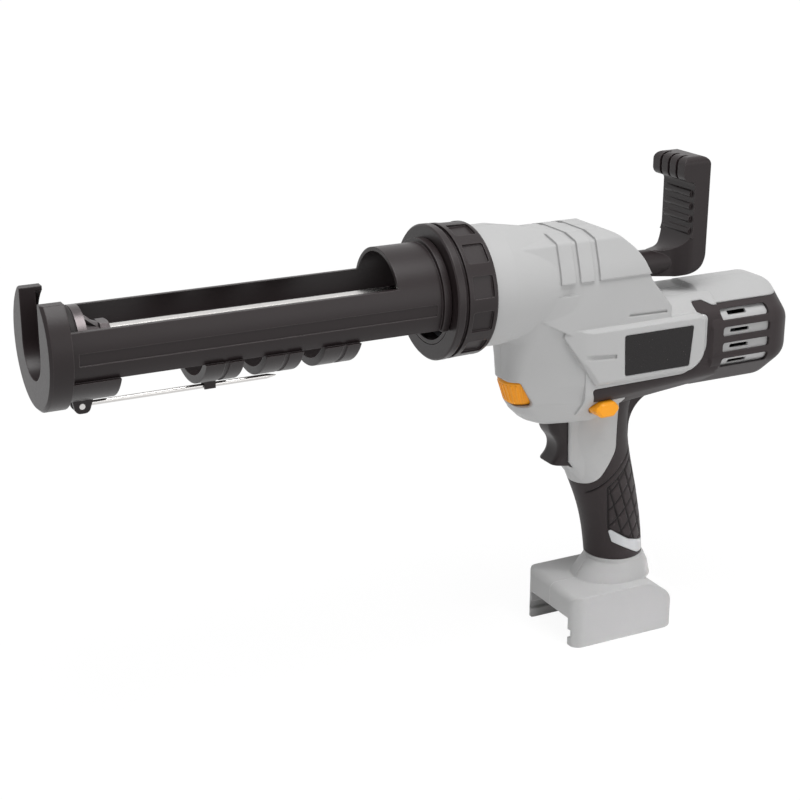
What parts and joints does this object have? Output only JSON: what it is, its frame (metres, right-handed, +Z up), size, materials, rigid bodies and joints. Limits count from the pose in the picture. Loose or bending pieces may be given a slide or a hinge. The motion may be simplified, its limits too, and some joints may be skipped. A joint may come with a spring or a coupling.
{
  "type": "cordless caulking tool",
  "caption": "Pistol-grip cordless caulking tool: a geared motor drives a toothed rod and piston through an open cartridge cradle, with a pull handle behind.",
  "frame": {"origin": "on the cartridge axis, at the front face of the housing", "axes": "+X forwards along the cartridge axis, +Y to the tool's left, +Z up"},
  "size_m": [0.441, 0.0732, 0.2795],
  "materials": {
    "housing_grey": "fine satin texture",
    "cradle_black": "fine satin texture",
    "overmould_black": "soft matte",
    "accent_silver": "satin",
    "plate_black": "smooth",
    "control_orange": "smooth",
    "bright_steel": "bright drawn",
    "gear_steel": "machined",
    "bush_bronze": "sintered",
    "case_aluminium": "die cast",
    "motor_steel": "zinc plated",
    "magnet_grey": "matte ferrite",
    "copper": "bright copper",
    "inner_plastic": "moulded",
    "board_green": "solder mask"
  },
  "bodies": {
    "body": {"left_housing": "housing_grey", "right_housing": "housing_grey", "left_overmould": "overmould_black", "right_overmould": "overmould_black", "grip_accents": "accent_silver", "side_plate": "plate_black", "housing_screws": "bright_steel", "cartridge_cradle": "cradle_black", "front_cap": "cradle_black", "wire_pivot_pin": "bright_steel", "gear_case": "case_aluminium", "cradle_socket": "case_aluminium", "rod_bush_front": "bush_bronze", "rod_bush_rear": "bush_bronze", "pinion_bushes": "bush_bronze", "layshaft_bushes": "bush_bronze", "carrier_bush": "bush_bronze", "ring_gear": "gear_steel", "motor_can": "motor_steel", "motor_bearing": "bright_steel", "motor_magnets": "magnet_grey", "motor_end_bell": "inner_plastic", "trigger_switch": "inner_plastic", "dial_pin": "bright_steel", "control_board": "board_green", "terminal_block": "cradle_black", "contact_blades": "copper"},
    "rod": {"push_rod": "bright_steel", "piston_plate": "bright_steel", "piston_wiper": "overmould_black", "piston_screw": "bright_steel", "piston_nut": "bright_steel", "pull_handle": "cradle_black"},
    "pinion": {"drive_pinion": "gear_steel", "pinion_shaft": "bright_steel", "clutch_disc": "bright_steel", "clutch_spring": "bright_steel", "clutch_collar": "bright_steel"},
    "rotor": {"motor_shaft": "bright_steel", "armature": "motor_steel", "commutator": "copper", "cooling_fan": "inner_plastic", "sun_gear": "gear_steel"},
    "carrier": {"planet_carrier": "gear_steel", "bevel_pinion": "gear_steel"},
    "planet_1": {"planet_gear_1": "gear_steel"},
    "planet_2": {"planet_gear_2": "gear_steel"},
    "planet_3": {"planet_gear_3": "gear_steel"},
    "layshaft": {"layshaft": "bright_steel", "layshaft_pinion": "gear_steel", "bevel_gear": "gear_steel"},
    "output": {"output_gear": "gear_steel"},
    "trigger": {"trigger": "cradle_black"},
    "selector": {"selector_button": "control_orange"},
    "dial": {"speed_dial": "control_orange"},
    "lock_ring": {"lock_ring": "cradle_black"},
    "wire": {"piercing_wire": "bright_steel"}
  },
  "joints": [
    {"name": "rod_slide", "type": "slide", "parent": "body", "child": "rod", "axis": [1, 0, 0], "range_m": [-0.205, 0]},
    {"name": "pinion_spin", "type": "hinge", "parent": "body", "child": "pinion", "pos_m": [-0.063, 0, -0.0122], "axis": [0, 1, 0], "range_deg": [-1312, 6]},
    {"name": "motor_spin", "type": "hinge", "parent": "body", "child": "rotor", "pos_m": [-0.13, 0, -0.0422], "axis": [1, 0, 0], "continuous": true},
    {"name": "carrier_spin", "type": "hinge", "parent": "body", "child": "carrier", "pos_m": [-0.092, 0, -0.0422], "axis": [1, 0, 0], "continuous": true},
    {"name": "layshaft_spin", "type": "hinge", "parent": "body", "child": "layshaft", "pos_m": [-0.063, 0, -0.0422], "axis": [0, 1, 0], "continuous": true},
    {"name": "output_spin", "type": "hinge", "parent": "body", "child": "output", "pos_m": [-0.063, 0.011, -0.0122], "axis": [0, 1, 0], "continuous": true},
    {"name": "trigger_pull", "type": "slide", "parent": "body", "child": "trigger", "axis": [1, 0, 0], "range_m": [-0.006, 0], "stiffness_N_per_m": 900, "springref_m": 0.003},
    {"name": "selector_slide", "type": "slide", "parent": "body", "child": "selector", "axis": [0, 1, 0], "range_m": [-0.006, 0]},
    {"name": "dial_turn", "type": "hinge", "parent": "body", "child": "dial", "pos_m": [-0.03801, 0, -0.06078], "axis": [0.1736, 0, 0.9848], "range_deg": [-130, 130]},
    {"name": "ring_turn", "type": "hinge", "parent": "body", "child": "lock_ring", "pos_m": [0.0125, 0, 0], "axis": [1, 0, 0], "range_deg": [0, 60]},
    {"name": "wire_swing", "type": "hinge", "parent": "body", "child": "wire", "pos_m": [0.216, 0, -0.033], "axis": [0, 1, 0], "range_deg": [-150, 0]},
    {"name": "planet_1_spin", "type": "hinge", "parent": "carrier", "child": "planet_1", "pos_m": [-0.099, 0, -0.0314], "axis": [1, 0, 0], "continuous": true},
    {"name": "planet_2_spin", "type": "hinge", "parent": "carrier", "child": "planet_2", "pos_m": [-0.099, -0.00935, -0.0476], "axis": [1, 0, 0], "continuous": true},
    {"name": "planet_3_spin", "type": "hinge", "parent": "carrier", "child": "planet_3", "pos_m": [-0.099, 0.00935, -0.0476], "axis": [1, 0, 0], "continuous": true}
  ],
  "couplings": [
    {"joint": "pinion_spin", "follows": "rod_slide", "rad_per_m": 111.11},
    {"joint": "carrier_spin", "follows": "motor_spin", "ratio": 0.22222},
    {"joint": "layshaft_spin", "follows": "motor_spin", "ratio": -0.14815},
    {"joint": "output_spin", "follows": "motor_spin", "ratio": 0.074074},
    {"joint": "planet_1_spin", "follows": "motor_spin", "ratio": -0.62222},
    {"joint": "planet_2_spin", "follows": "motor_spin", "ratio": -0.62222},
    {"joint": "planet_3_spin", "follows": "motor_spin", "ratio": -0.62222}
  ]
}
